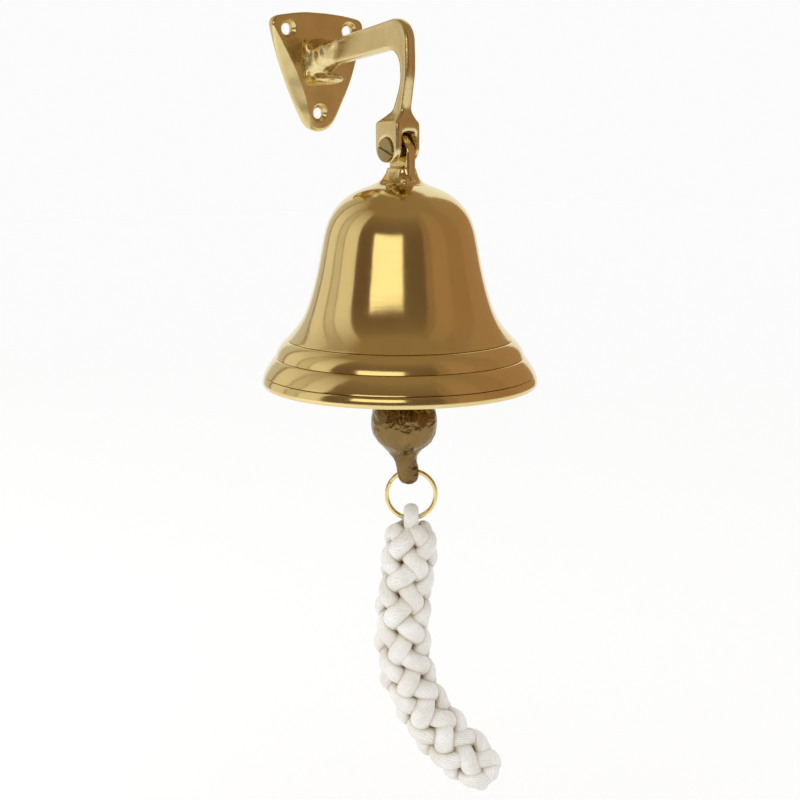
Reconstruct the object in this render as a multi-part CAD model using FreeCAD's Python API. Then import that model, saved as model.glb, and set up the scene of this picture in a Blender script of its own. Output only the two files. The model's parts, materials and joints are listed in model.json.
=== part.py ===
import FreeCAD, Part
import math
import os

from FreeCAD import Vector

# Wall-mounted ship bell, in millimetres.
# The wall is the plane y = 0 and the bracket reaches out along -Y. +Z is up.
# The origin is on the wall face, level with the root of the bracket's arm.

# ---------------------------------------------------------------- driving dimensions

MOUTH_RADIUS = 75.0          # a six-inch bell
MOUTH_Z = -178.0             # plane of the bell's mouth
WALL_TO_AXIS = 80.0          # from the wall to the bell's own axis
BELL_SIDE_SHIFT = 1.75       # the bell has slid along its pin towards the far ear
PIN_ABOVE_MOUTH = 126.0
CLAPPER_TURN = -35.8         # the clapper hangs turned about Z by this angle, in degrees

PLATE_THICKNESS = 4.5
PLATE_HALF_WIDTH = 30.2
PLATE_TOP = 23.6             # crest of the plate's arched top edge
PLATE_APEX = -53.0           # where the two bowed sides meet, before the tip is rounded
TOP_HOLE_SPACING = 40.6
TOP_HOLE_Z = 13.9
BOTTOM_HOLE_Z = -32.1
SCREW_HOLE_RADIUS = 3.1
COUNTERSINK_RADIUS = 5.1
COUNTERSINK_DEPTH = 2.0

ARM_THICKNESS = 7.0
FORK_HALF_WIDTH = 8.0
FORK_FRONT = 10.6            # how far the fork reaches out past the pin
FORK_BACK = 10.2
FORK_DROP = 6.9              # the ears end this far below the pin
FORK_RISE = 15.0             # the fork's square body ends this far above the pin
EAR_ROUND = 8.0
SLOT_LEFT = -3.7
SLOT_RIGHT = 4.9
SLOT_RISE = 9.3

PIN_RADIUS = 3.4
PIN_HOLE_CLEARANCE = 0.08
THREAD_RADIUS = 3.0
SCREW_HEAD_RADIUS = 6.5
SCREW_HEAD_HEIGHT = 2.2
SCREW_HEAD_PROUD = 0.5

TONGUE_THICKNESS = 5.6
TONGUE_RADIUS = 8.8
TONGUE_FRONT = 10.8
NECK_HALF_WIDTH = 5.6
NECK_FRONT = 9.2
NECK_BACK = 6.0
NECK_TOP_BELOW_PIN = 9.0

CLAPPER_SIDE_SHIFT = 2.3     # the staple is cast a little off the bell's axis
STAPLE_BAR_RISE = 90.0       # heights above the mouth
STAPLE_BEND = 7.0
STAPLE_WIRE = 2.5
STAPLE_TOP_RISE = 105.5
LINK_WIRE = 2.0
LINK_BEND = 6.0
LINK_STRAIGHT = 12.0
LINK_PLAY = 0.6
EYE_HOLE_RADIUS = 3.3
EYE_RADIUS = 7.2
EYE_THICKNESS = 5.0
ROD_TOP_RADIUS = 3.4
ROD_BOTTOM_RADIUS = 4.6
BALL_RADIUS = 18.3
BALL_RISE = -22.0
TAIL_END_RISE = -57.2
TAIL_HOLE_RISE = -49.4
TAIL_SHIFT = 2.3             # the tail is bent a little to one side
TAIL_HALF_WIDTH = 6.1
TAIL_HALF_DEPTH = 4.4

RING_WIRE = 1.35
RING_RADIUS = 13.6           # to the middle of the wire
RING_HOLE_PLAY = 0.4
RING_SIDE_SHIFT = 1.6        # the lanyard's weight holds the ring a little to one side

LOOP_STRAND = 3.0
LOOP_PLAY = 0.4
BRAID_RADIUS = 13.5
BRAID_TOP_GAP = 3.6          # from the ring's lowest wire centre down to the braid

# Middle of the braid: how far to the side and how far below the ring it passes.
BRAID_ROUTE = [
    (0.2, -3.6),
    (0.2, -22.0),
    (-3.8, -42.6),
    (-5.4, -61.1),
    (-4.4, -79.7),
    (-0.1, -97.8),
    (7.6, -114.7),
    (18.4, -129.8),
    (31.6, -143.0),
    (45.9, -154.8),
]

# ---------------------------------------------------------------- shared places

AXIS_Y = -WALL_TO_AXIS
PIN_Z = MOUTH_Z + PIN_ABOVE_MOUTH
TURN = math.radians(CLAPPER_TURN)
SIDE = Vector(math.cos(TURN), math.sin(TURN), 0.0)
DEEP = Vector(-math.sin(TURN), math.cos(TURN), 0.0)
UP = Vector(0.0, 0.0, 1.0)
BELL_FOOT = Vector(BELL_SIDE_SHIFT, AXIS_Y, MOUTH_Z)


def hung(side, deep, rise):
    """A point in the clapper's own directions, measured from the mouth's centre."""
    return BELL_FOOT + SIDE * side + DEEP * deep + UP * rise


# ---------------------------------------------------------------- small helpers


def box(x_low, x_high, y_low, y_high, z_low, z_high):
    """A box between two corners."""
    corner = Vector(x_low, y_low, z_low)
    return Part.makeBox(x_high - x_low, y_high - y_low, z_high - z_low, corner)


def solid_of(wire, direction):
    """A flat closed wire pushed along a direction."""
    return Part.Face(wire).extrude(direction)


def arc(start, middle, end):
    """The edge of the circle through three points."""
    return Part.Arc(start, middle, end).toShape()


def turn_angle(before, corner, after):
    """How far a path turns at a corner, in radians."""
    back = (before - corner).normalize()
    ahead = (after - corner).normalize()
    return math.pi - math.acos(back.dot(ahead))


def corner_arc(before, corner, after, radius):
    """The tangent arc that rounds a corner, with its two ends."""
    back = (before - corner).normalize()
    ahead = (after - corner).normalize()
    reach = radius * math.tan(turn_angle(before, corner, after) / 2.0)
    entry = corner + back * reach
    leave = corner + ahead * reach
    towards = (back + ahead).normalize()
    middle = corner + towards * (math.hypot(radius, reach) - radius)
    return entry, arc(entry, middle, leave), leave


def rounded_path(points, radii):
    """Straight runs through the points, with each inner corner rounded."""
    edges = []
    last = points[0]
    for before, corner, after, radius in zip(points, points[1:], points[2:], radii):
        entry, bend, leave = corner_arc(before, corner, after, radius)
        edges.append(Part.makeLine(last, entry))
        edges.append(bend)
        last = leave
    edges.append(Part.makeLine(last, points[-1]))
    return edges


def rounded(shape, edges, radius):
    """Fillet the chosen edges."""
    return shape.makeFillet(radius, edges)


def tube(path_edges, start, direction, radius):
    """A round bar that follows a smooth path."""
    spine = Part.Wire(path_edges)
    section = Part.Wire(Part.makeCircle(radius, start, direction))
    return spine.makePipeShell([section], True, False)


def write(node, shape):
    """Save one sub-part, after testing that it is sound."""
    if not shape.isValid():
        raise ValueError(node + " is not a valid solid")
    shape.exportStep("parts/" + node + ".step")
    centre = shape.Solids[0].CenterOfMass
    print(node, "solids", len(shape.Solids), "volume", round(shape.Volume, 1),
          "centre", round(centre.x, 1), round(centre.y, 1), round(centre.z, 1))


# ---------------------------------------------------------------- wall plate


def plate_outline():
    """The shield before its corners are rounded: arched top and two bowed sides."""
    corner_x = PLATE_HALF_WIDTH + 1.2
    corner_z = PLATE_TOP - 3.6
    bow_x = 23.4
    bow_z = -8.0
    apex = Vector(0.0, 0.0, PLATE_APEX)
    right = Vector(corner_x, 0.0, corner_z)
    left = Vector(-corner_x, 0.0, corner_z)
    return Part.Wire([
        arc(left, Vector(0.0, 0.0, PLATE_TOP), right),
        arc(right, Vector(bow_x, 0.0, bow_z), apex),
        arc(apex, Vector(-bow_x, 0.0, bow_z), left),
    ])


def screw_hole(x, z):
    """A countersunk hole through the plate, sunk from the front."""
    out = Vector(0.0, -1.0, 0.0)
    shank = Part.makeCylinder(SCREW_HOLE_RADIUS, 3.0 * PLATE_THICKNESS, Vector(x, PLATE_THICKNESS, z), out)
    sink_start = Vector(x, COUNTERSINK_DEPTH - PLATE_THICKNESS, z)
    sink = Part.makeCone(SCREW_HOLE_RADIUS, COUNTERSINK_RADIUS, COUNTERSINK_DEPTH, sink_start, out)
    return shank.fuse(sink)


def wall_plate():
    """The brass plate that is screwed to the wall."""
    front_round = 1.6
    corner_round = 5.0
    tip_round = 12.0
    plate = solid_of(plate_outline(), Vector(0.0, -PLATE_THICKNESS, 0.0))
    across = [e for e in plate.Edges if e.BoundBox.YLength > 1.0 and e.BoundBox.ZLength < 0.01]
    plate = rounded(plate, [e for e in across if e.BoundBox.ZMin > 0.0], corner_round)
    across = [e for e in plate.Edges if e.BoundBox.YLength > 1.0 and e.BoundBox.ZMax < BOTTOM_HOLE_Z - tip_round]
    plate = rounded(plate, across, tip_round)
    front_edges = [e for e in plate.Edges if e.BoundBox.YMax < 0.01 - PLATE_THICKNESS]
    plate = rounded(plate, front_edges, front_round)
    half = TOP_HOLE_SPACING / 2.0
    for x, z in ((-half, TOP_HOLE_Z), (half, TOP_HOLE_Z), (0.0, BOTTOM_HOLE_Z)):
        plate = plate.cut(screw_hole(x, z))
    return plate


# ---------------------------------------------------------------- bracket arm


def arm_profile():
    """The side view of the bent bar: y is measured from the pin, z from the origin."""
    root_y = WALL_TO_AXIS - PLATE_THICKNESS

    def at(y, z):
        return Vector(-ARM_THICKNESS / 2.0, AXIS_Y + y, z)

    leg_foot_z = PIN_Z + FORK_RISE + 5.4
    outer = [at(root_y, 5.8), at(-12.2, 17.6), at(-13.2, -12.0), at(-9.0, leg_foot_z)]
    inner = [at(1.0, leg_foot_z), at(-6.0, -17.0), at(-4.6, 0.6), at(root_y, -7.8)]
    edges = rounded_path(outer, [13.0, 40.0])
    edges.append(Part.makeLine(outer[-1], inner[0]))
    edges += rounded_path(inner, [18.0, 10.0])
    edges.append(Part.makeLine(inner[-1], outer[0]))
    return Part.Wire(edges)


def arm_bar():
    """The flat bar with its long edges eased."""
    edge_round = 1.3
    bar = solid_of(arm_profile(), Vector(ARM_THICKNESS, 0.0, 0.0))
    long_edges = []
    for edge in bar.Edges:
        flat = edge.BoundBox.XLength < 0.01
        ends = edge.BoundBox.ZLength < 0.01 or edge.BoundBox.YLength < 0.01
        if flat and not ends:
            long_edges.append(edge)
    return rounded(bar, long_edges, edge_round)


def ellipse_wire(centre, across, tall):
    """An upright ellipse that faces along Y."""
    major = max(across, tall)
    minor = min(across, tall)
    curve = Part.Ellipse(Vector(0.0, 0.0, 0.0), major, minor)
    wire = Part.Wire(curve.toShape())
    if tall > across:
        wire.rotate(Vector(0.0, 0.0, 0.0), UP, 90.0)
    wire.rotate(Vector(0.0, 0.0, 0.0), Vector(1.0, 0.0, 0.0), 90.0)
    wire.translate(centre)
    return wire


def arm_foot():
    """The swollen root that spreads the arm onto the plate."""
    face = -PLATE_THICKNESS
    sections = [
        ellipse_wire(Vector(0.0, face, -2.6), 11.6, 12.6),
        ellipse_wire(Vector(0.0, face - 4.0, -2.2), 8.6, 11.2),
        ellipse_wire(Vector(0.0, face - 11.0, -0.6), 6.0, 8.9),
        ellipse_wire(Vector(0.0, face - 19.0, 0.6), 4.2, 7.6),
    ]
    return Part.makeLoft(sections, True)


def fork_block():
    """The square body of the fork, with its sloped shoulders up to the arm's leg."""
    bottom = PIN_Z - FORK_DROP
    top = PIN_Z + FORK_RISE
    front = AXIS_Y - FORK_FRONT
    back = AXIS_Y + FORK_BACK
    body = box(-FORK_HALF_WIDTH, FORK_HALF_WIDTH, front, back, bottom, top)
    bottom_edges = [
        e for e in body.Edges
        if e.BoundBox.XLength > 1.0 and e.BoundBox.ZMax < bottom + 0.01 and e.BoundBox.YLength < 0.01
    ]
    body = rounded(body, bottom_edges, EAR_ROUND)
    upright = [e for e in body.Edges if e.BoundBox.ZLength > 5.0 and e.BoundBox.XLength < 0.01
               and e.BoundBox.YLength < 0.01]
    body = rounded(body, upright, 1.2)

    def ring(half_width, y_low, y_high, z):
        corners = [
            Vector(-half_width, y_low, z),
            Vector(half_width, y_low, z),
            Vector(half_width, y_high, z),
            Vector(-half_width, y_high, z),
        ]
        return Part.makePolygon(corners + corners[:1])

    inset = 1.0
    lower = ring(FORK_HALF_WIDTH - inset, front + inset, back - inset, top)
    upper = ring(ARM_THICKNESS / 2.0, AXIS_Y - 9.0, AXIS_Y + 1.0, top + 5.4)
    shoulders = Part.makeLoft([lower, upper], True, True)
    return body, shoulders


def fork_slot():
    """The gap between the ears, with a round top."""
    half = (SLOT_RIGHT - SLOT_LEFT) / 2.0
    middle = (SLOT_RIGHT + SLOT_LEFT) / 2.0
    top_round = 1.6
    reach = FORK_FRONT + FORK_BACK
    gap = box(middle - half, middle + half, AXIS_Y - reach, AXIS_Y + reach,
              PIN_Z - 3.0 * FORK_DROP, PIN_Z + SLOT_RISE)
    top_edges = [
        e for e in gap.Edges
        if e.BoundBox.YLength > 1.0 and e.BoundBox.ZMin > PIN_Z + SLOT_RISE - 0.01
        and e.BoundBox.XLength < 0.01
    ]
    return rounded(gap, top_edges, top_round)


def pin_holes():
    """The plain hole and head recess in the near ear and the tapped hole in the far one."""
    x_axis = Vector(1.0, 0.0, 0.0)
    shank_hole = Part.makeCylinder(
        PIN_RADIUS, FORK_HALF_WIDTH + SLOT_RIGHT,
        Vector(-FORK_HALF_WIDTH - 0.1, AXIS_Y, PIN_Z), x_axis)
    recess = Part.makeCylinder(
        SCREW_HEAD_RADIUS, SCREW_HEAD_HEIGHT - SCREW_HEAD_PROUD + 0.1,
        Vector(-FORK_HALF_WIDTH - 0.1, AXIS_Y, PIN_Z), x_axis)
    thread = Part.makeCylinder(
        THREAD_RADIUS, FORK_HALF_WIDTH + 0.1, Vector(SLOT_RIGHT - 0.1, AXIS_Y, PIN_Z), x_axis)
    return shank_hole.fuse([recess, thread])


def bracket_arm():
    """The bar, its root and its fork, cast in one piece."""
    body, shoulders = fork_block()
    arm = arm_bar().fuse([arm_foot(), body, shoulders])
    arm = arm.cut(fork_slot())
    arm = arm.cut(pin_holes())
    return arm.removeSplitter()


# ---------------------------------------------------------------- pivot screw


def pivot_screw():
    """The slotted screw that the bell hangs on."""
    x_axis = Vector(1.0, 0.0, 0.0)
    slot_width = 1.3
    slot_depth = 1.1
    slot_lean = 20.0
    head_x = -FORK_HALF_WIDTH - SCREW_HEAD_PROUD
    head = Part.makeCylinder(SCREW_HEAD_RADIUS - 0.15, SCREW_HEAD_HEIGHT, Vector(head_x, AXIS_Y, PIN_Z), x_axis)
    rim = [e for e in head.Edges if e.BoundBox.XMax < head_x + 0.01]
    head = rounded(head, rim, 0.3)
    shank_end = SLOT_RIGHT
    shank = Part.makeCylinder(
        PIN_RADIUS - PIN_HOLE_CLEARANCE, shank_end - head_x - SCREW_HEAD_HEIGHT,
        Vector(head_x + SCREW_HEAD_HEIGHT, AXIS_Y, PIN_Z), x_axis)
    thread = Part.makeCylinder(
        THREAD_RADIUS, FORK_HALF_WIDTH - 0.4 - shank_end, Vector(shank_end, AXIS_Y, PIN_Z), x_axis)
    cut_length = 3.0 * SCREW_HEAD_RADIUS
    groove = box(head_x - 1.0, head_x + slot_depth, AXIS_Y - cut_length / 2.0, AXIS_Y + cut_length / 2.0,
                 PIN_Z - slot_width / 2.0, PIN_Z + slot_width / 2.0)
    groove.rotate(Vector(head_x, AXIS_Y, PIN_Z), x_axis, slot_lean)
    return head.fuse([shank, thread]).cut(groove).removeSplitter()


# ---------------------------------------------------------------- bell


def bell_profile():
    """Half of the bell's section: crown, waist, three lip bands, lip and inside."""

    def at(radius, rise):
        return Vector(radius, 0.0, rise)

    outer = Part.BSplineCurve()
    outer.interpolate([
        at(7.4, 114.6), at(10.4, 110.4), at(18.6, 106.4), at(30.6, 99.6), at(37.9, 90.0), at(41.6, 77.4),
        at(44.6, 62.0), at(48.3, 48.0), at(53.6, 35.2), at(61.2, 25.7),
    ])
    inner = Part.BSplineCurve()
    inner.interpolate([
        at(69.8, 0.9), at(64.2, 11.4), at(55.2, 24.6), at(48.2, 38.0), at(43.2, 52.0),
        at(39.6, 66.0), at(36.4, 80.0), at(30.4, 91.6), at(20.0, 98.6), at(9.0, 101.6),
    ])
    flare_top = Part.makeLine(at(0.0, 114.6), at(7.4, 114.6))
    band_one = arc(at(62.1, 24.7), at(65.7, 20.7), at(67.5, 16.3))
    band_two = arc(at(68.3, 15.2), at(71.7, 10.8), at(73.9, 6.7))
    band_three = arc(at(74.2, 5.8), at(74.95, 3.4), at(75.0, 1.2))
    edges = [
        flare_top,
        outer.toShape(),
        Part.makeLine(at(61.2, 25.7), at(61.0, 24.8)),
        Part.makeLine(at(61.0, 24.8), at(62.1, 24.7)),
        band_one,
        Part.makeLine(at(67.5, 16.3), at(67.0, 15.7)),
        Part.makeLine(at(67.0, 15.7), at(68.3, 15.2)),
        band_two,
        Part.makeLine(at(73.9, 6.7), at(73.4, 6.2)),
        Part.makeLine(at(73.4, 6.2), at(74.2, 5.8)),
        band_three,
        arc(at(MOUTH_RADIUS, 1.2), at(74.6, 0.35), at(73.8, 0.0)),
        Part.makeLine(at(73.8, 0.0), at(70.4, 0.0)),
        arc(at(70.4, 0.0), at(69.95, 0.3), at(69.8, 0.9)),
        inner.toShape(),
        Part.makeLine(at(9.0, 101.6), at(0.0, 102.0)),
        Part.makeLine(at(0.0, 102.0), at(0.0, 114.6)),
    ]
    return Part.Wire(edges)


def bell_shell():
    """The bell turned about its axis."""
    shell = Part.Face(bell_profile()).revolve(Vector(0.0, 0.0, 0.0), UP, 360.0)
    shell.translate(BELL_FOOT)
    return shell


def tongue():
    """The flat tang that stands in the fork's slot, round about the pin."""
    low = MOUTH_Z + 106.0
    neck_top = PIN_Z - NECK_TOP_BELOW_PIN

    def at(y, z):
        return Vector(BELL_SIDE_SHIFT - TONGUE_THICKNESS / 2.0, AXIS_Y + y, z)

    bulge_top = at(-10.2, PIN_Z + 1.8)
    crest_start = at(-TONGUE_RADIUS * math.sin(math.radians(55.0)),
                     PIN_Z + TONGUE_RADIUS * math.cos(math.radians(55.0)))
    outline = Part.Wire([
        Part.makeLine(at(-TONGUE_FRONT, low), at(-TONGUE_FRONT, PIN_Z - 2.0)),
        arc(at(-TONGUE_FRONT, PIN_Z - 2.0), at(-TONGUE_FRONT + 0.1, PIN_Z), bulge_top),
        Part.makeLine(bulge_top, crest_start),
        arc(crest_start, at(0.0, PIN_Z + TONGUE_RADIUS), at(TONGUE_RADIUS, PIN_Z)),
        Part.makeLine(at(TONGUE_RADIUS, PIN_Z), at(NECK_BACK, neck_top - 1.0)),
        Part.makeLine(at(NECK_BACK, neck_top - 1.0), at(NECK_BACK, low)),
        Part.makeLine(at(NECK_BACK, low), at(-TONGUE_FRONT, low)),
    ])
    plate = solid_of(outline, Vector(TONGUE_THICKNESS, 0.0, 0.0))
    rim = []
    for edge in plate.Edges:
        on_side = edge.BoundBox.XLength < 0.01
        at_foot = edge.BoundBox.ZMax < low + 0.01
        if on_side and not at_foot:
            rim.append(edge)
    return rounded(plate, rim, 1.2)


def neck():
    """The block under the tang, standing on the crown's flare."""
    low = MOUTH_Z + 105.0
    top = PIN_Z - NECK_TOP_BELOW_PIN
    block = box(BELL_SIDE_SHIFT - NECK_HALF_WIDTH, BELL_SIDE_SHIFT + NECK_HALF_WIDTH,
                AXIS_Y - NECK_FRONT, AXIS_Y + NECK_BACK, low, top)
    corners = [e for e in block.Edges if e.BoundBox.ZLength > 5.0]
    block = rounded(block, corners, 1.6)
    return block


def bell_body(staple):
    """The bell with its neck, tang and pin hole, cast around the staple's legs."""
    body = bell_shell().fuse([neck(), tongue()])
    hole = Part.makeCylinder(
        PIN_RADIUS, 4.0 * TONGUE_THICKNESS,
        Vector(BELL_SIDE_SHIFT - 2.0 * TONGUE_THICKNESS, AXIS_Y, PIN_Z), Vector(1.0, 0.0, 0.0))
    return body.cut(hole).cut(staple).removeSplitter()


# ---------------------------------------------------------------- staple and link


def crown_staple():
    """The U of round bar inside the crown that the link hangs on."""
    bend_centre = STAPLE_BAR_RISE + STAPLE_BEND

    def at(deep, rise):
        return hung(CLAPPER_SIDE_SHIFT, deep, rise)

    start = at(-STAPLE_BEND, STAPLE_TOP_RISE)
    path = [
        Part.makeLine(start, at(-STAPLE_BEND, bend_centre)),
        arc(at(-STAPLE_BEND, bend_centre), at(0.0, STAPLE_BAR_RISE), at(STAPLE_BEND, bend_centre)),
        Part.makeLine(at(STAPLE_BEND, bend_centre), at(STAPLE_BEND, STAPLE_TOP_RISE)),
    ]
    return tube(path, start, Vector(0.0, 0.0, -1.0), STAPLE_WIRE)


LINK_TOP_RISE = STAPLE_BAR_RISE + STAPLE_WIRE + LINK_WIRE + LINK_PLAY
LINK_BOTTOM_RISE = LINK_TOP_RISE - 2.0 * LINK_BEND - LINK_STRAIGHT


def hanger_link():
    """The closed oval link between the staple and the clapper's eye."""
    high = LINK_TOP_RISE - LINK_BEND
    low = LINK_BOTTOM_RISE + LINK_BEND

    def at(side, rise):
        return hung(CLAPPER_SIDE_SHIFT + side, 0.0, rise)

    path = [
        Part.makeLine(at(LINK_BEND, low), at(LINK_BEND, high)),
        arc(at(LINK_BEND, high), at(0.0, LINK_TOP_RISE), at(-LINK_BEND, high)),
        Part.makeLine(at(-LINK_BEND, high), at(-LINK_BEND, low)),
        arc(at(-LINK_BEND, low), at(0.0, LINK_BOTTOM_RISE), at(LINK_BEND, low)),
    ]
    return tube(path, at(LINK_BEND, low), UP, LINK_WIRE)


# ---------------------------------------------------------------- clapper


def clapper_core():
    """The turned shape of the clapper's rod and pear-shaped ball."""

    def at(radius, rise):
        return Vector(radius, 0.0, rise)

    rod_top = LINK_BOTTOM_RISE - EYE_RADIUS + 1.5
    collar = BALL_RISE + BALL_RADIUS + 5.0
    ball = Part.BSplineCurve()
    ball.interpolate([
        at(ROD_BOTTOM_RADIUS, collar), at(8.2, BALL_RISE + 17.4), at(14.6, BALL_RISE + 11.4),
        at(18.1, BALL_RISE + 3.4), at(17.8, BALL_RISE - 4.6), at(14.2, BALL_RISE - 11.4),
        at(8.6, BALL_RISE - 16.2), at(6.0, BALL_RISE - 21.0),
    ])
    outline = Part.Wire([
        Part.makeLine(at(0.0, rod_top), at(ROD_TOP_RADIUS, rod_top)),
        Part.makeLine(at(ROD_TOP_RADIUS, rod_top), at(ROD_BOTTOM_RADIUS, collar)),
        ball.toShape(),
        Part.makeLine(at(6.0, BALL_RISE - 21.0), at(0.0, BALL_RISE - 21.0)),
        Part.makeLine(at(0.0, BALL_RISE - 21.0), at(0.0, rod_top)),
    ])
    core = Part.Face(outline).revolve(Vector(0.0, 0.0, 0.0), UP, 360.0)
    core.translate(hung(CLAPPER_SIDE_SHIFT, 0.0, 0.0))
    return core


def clapper_eye():
    """The flat eye at the top of the clapper, turned across the link."""
    centre = hung(CLAPPER_SIDE_SHIFT, 0.0, LINK_BOTTOM_RISE)
    start = centre - SIDE * (EYE_THICKNESS / 2.0)
    disc = Part.makeCylinder(EYE_RADIUS, EYE_THICKNESS, start, SIDE)
    disc = rounded(disc, [e for e in disc.Edges if e.Closed], 0.8)
    return disc


def eye_hole():
    """The hole in the eye, opened out at both sides for the link's bend."""
    flare = 0.8
    centre = hung(CLAPPER_SIDE_SHIFT, 0.0, LINK_BOTTOM_RISE)
    long_hole = Part.makeCylinder(EYE_HOLE_RADIUS, 12.0, centre - SIDE * 6.0, SIDE)
    cones = []
    for sign in (-1.0, 1.0):
        start = centre + SIDE * (sign * (EYE_THICKNESS / 2.0 - flare))
        cones.append(Part.makeCone(EYE_HOLE_RADIUS, EYE_HOLE_RADIUS + 2.0 * flare, 2.0 * flare,
                                   start, SIDE * sign))
    return long_hole.fuse(cones)


def tail_sections():
    """Ellipses that carry the ball down into the flattened, bent tail."""
    stations = [
        (0.0, -41.6, 6.3, 6.1),
        (0.9, -44.5, 6.1, 5.2),
        (TAIL_SHIFT, TAIL_HOLE_RISE, TAIL_HALF_WIDTH, TAIL_HALF_DEPTH + 0.6),
        (TAIL_SHIFT + 0.2, TAIL_END_RISE + 4.6, 5.7, TAIL_HALF_DEPTH),
        (TAIL_SHIFT + 0.2, TAIL_END_RISE + 1.6, 4.5, 3.4),
        (TAIL_SHIFT + 0.2, TAIL_END_RISE, 2.2, 1.6),
    ]
    wires = []
    for side, rise, half_width, half_depth in stations:
        curve = Part.Ellipse(Vector(0.0, 0.0, 0.0), half_width, half_depth)
        wire = Part.Wire(curve.toShape())
        wire.rotate(Vector(0.0, 0.0, 0.0), UP, CLAPPER_TURN)
        wire.translate(hung(CLAPPER_SIDE_SHIFT + side, 0.0, rise))
        wires.append(wire)
    return wires


def tail_hole():
    """The cross hole for the ring, wider at its mouths because the ring curves in it."""
    throat = RING_WIRE + RING_HOLE_PLAY
    reach = TAIL_HALF_WIDTH + 3.0
    sag = RING_RADIUS - math.sqrt(RING_RADIUS ** 2 - reach ** 2)

    def at(along, radius):
        return Vector(along, 0.0, radius)

    section = Part.Wire([
        Part.makeLine(at(-reach, 0.0), at(-reach, throat + sag)),
        arc(at(-reach, throat + sag), at(0.0, throat), at(reach, throat + sag)),
        Part.makeLine(at(reach, throat + sag), at(reach, 0.0)),
        Part.makeLine(at(reach, 0.0), at(-reach, 0.0)),
    ])
    cutter = Part.Face(section).revolve(Vector(0.0, 0.0, 0.0), Vector(1.0, 0.0, 0.0), 360.0)
    cutter.rotate(Vector(0.0, 0.0, 0.0), UP, CLAPPER_TURN)
    cutter.translate(tail_pivot())
    return cutter


def tail_pivot():
    """Where the ring hangs in the tail."""
    return hung(CLAPPER_SIDE_SHIFT + TAIL_SHIFT + RING_SIDE_SHIFT, 0.0, TAIL_HOLE_RISE)


def clapper():
    """Eye, rod, ball and tail, cast in one piece."""
    tail = Part.makeLoft(tail_sections(), True)
    body = clapper_core().fuse([clapper_eye(), tail])
    return body.cut(eye_hole()).cut(tail_hole()).removeSplitter()


# ---------------------------------------------------------------- ring


def ring_centre():
    """The ring hangs straight down from the tail's hole."""
    return tail_pivot() - UP * RING_RADIUS


def pull_ring():
    """The round brass ring in the clapper's tail."""
    return Part.makeTorus(RING_RADIUS, RING_WIRE, ring_centre(), DEEP)


# ---------------------------------------------------------------- lanyard


def ring_bottom():
    """The middle of the wire at the ring's lowest point."""
    return ring_centre() - UP * RING_RADIUS


def lanyard_loop():
    """The strand that is looped over the ring."""
    bend = RING_WIRE + LOOP_PLAY + LOOP_STRAND

    def at(deep, rise):
        return ring_bottom() + DEEP * deep + UP * rise

    start = at(-bend, -BRAID_TOP_GAP)
    path = [
        Part.makeLine(start, at(-bend, 0.0)),
        arc(at(-bend, 0.0), at(0.0, bend), at(bend, 0.0)),
        Part.makeLine(at(bend, 0.0), at(bend, -BRAID_TOP_GAP)),
    ]
    return tube(path, start, UP, LOOP_STRAND)


def braid_path():
    """The braid's points, its edges and the radii of its bends, each as large as its runs allow."""
    points = [ring_bottom() + SIDE * side + UP * rise for side, rise in BRAID_ROUTE]
    radii = []
    for before, corner, after in zip(points, points[1:], points[2:]):
        shorter = min((before - corner).Length, (after - corner).Length)
        radii.append(0.49 * shorter / math.tan(turn_angle(before, corner, after) / 2.0))
    return points, rounded_path(points, radii), radii


def lanyard_braid():
    """The plain bar that stands for the braided handle."""
    points, edges, radii = braid_path()
    start_direction = (points[1] - points[0]).normalize()
    braid = tube(edges, points[0], start_direction, BRAID_RADIUS)
    length = sum(edge.Length for edge in edges)
    print("braid length", round(length, 1), "radii in diameters",
          [round(radius / (2.0 * BRAID_RADIUS), 1) for radius in radii])
    print("braid volume against section times length",
          round(braid.Volume / (math.pi * BRAID_RADIUS ** 2 * length), 4))
    return braid


# ---------------------------------------------------------------- write the sub-parts


os.makedirs("parts", exist_ok=True)
staple_shape = crown_staple()
write("wall_plate", wall_plate())
write("bracket_arm", bracket_arm())
write("pivot_screw", pivot_screw())
write("bell_body", bell_body(staple_shape))
write("crown_staple", staple_shape)
write("hanger_link", hanger_link())
write("clapper", clapper())
write("pull_ring", pull_ring())
write("lanyard_loop", lanyard_loop())
write("lanyard_braid", lanyard_braid())
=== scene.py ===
import json
import math

import bmesh
import bpy
import numpy as np
from mathutils import Matrix, Vector, noise


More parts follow.
